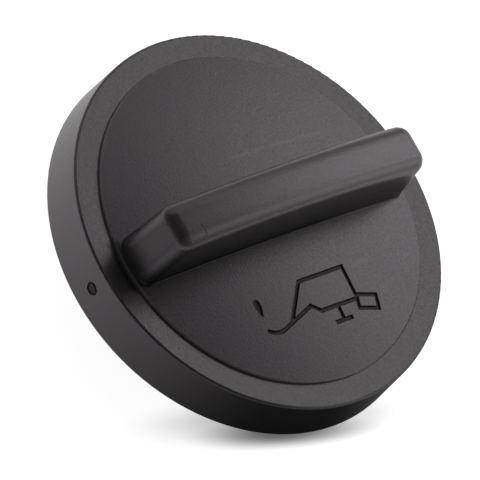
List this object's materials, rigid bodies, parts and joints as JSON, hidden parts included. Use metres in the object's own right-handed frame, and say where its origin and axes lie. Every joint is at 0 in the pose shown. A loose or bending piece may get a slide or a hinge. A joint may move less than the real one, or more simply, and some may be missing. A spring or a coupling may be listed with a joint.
{
  "type": "oil filler cap",
  "caption": "Round black plastic oil filler cap with a domed top, a straight grip bar, a short skirt, a hollow bayonet stem and a rubber sealing ring.",
  "frame": {"origin": "centre of the cap on the plane of the stem's open end, on which the cap stands", "axes": "+Z along the cap's axis from the stem to the grip bar; the grip bar lies along X with its narrow end at -X"},
  "size_m": [0.0662, 0.0662, 0.0374],
  "materials": {
    "cap_plastic": "fine spark-eroded matte grain",
    "seal_rubber": "smooth matt moulded rubber"
  },
  "bodies": {
    "root": {"cap_body": "cap_plastic", "seal_ring": "seal_rubber"}
  },
  "joints": []
}
